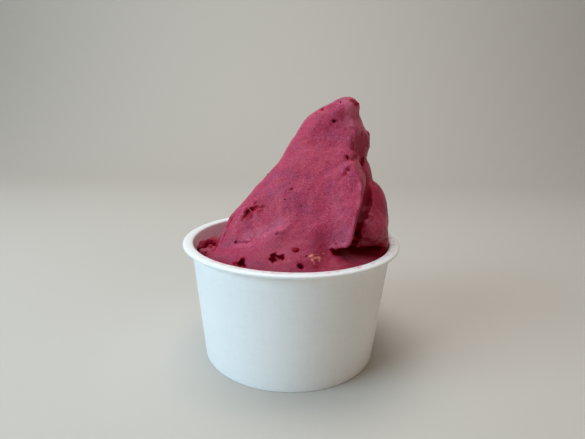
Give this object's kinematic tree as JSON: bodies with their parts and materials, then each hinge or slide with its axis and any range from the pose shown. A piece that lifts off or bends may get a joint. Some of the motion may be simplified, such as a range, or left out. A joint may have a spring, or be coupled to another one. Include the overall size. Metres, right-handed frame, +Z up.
{
  "type": "cup of gelato",
  "caption": "Plain white paper cup with a rolled rim, filled with berry gelato that is spread into a tall peak leaning to one side, with a flap of gelato over a hollow beside it.",
  "frame": {"origin": "on the surface the cup stands on, under the middle of the cup", "axes": "+Z up along the cup's axis; -Y towards the side that the picture shows; +X towards its right, the way the peak leans"},
  "size_m": [0.09, 0.09, 0.1077],
  "materials": {
    "cup_paper": "white coated paperboard, matt, with a faint grain, smoother on the rolled rim",
    "base_paper": "white uncoated paperboard",
    "gelato": "frosty magenta fruit gelato, fine ice grain, soft sheen, dark specks of fruit skin"
  },
  "bodies": {
    "root": {"cup_wall": "cup_paper", "cup_base": "base_paper", "gelato": "gelato"}
  },
  "joints": []
}
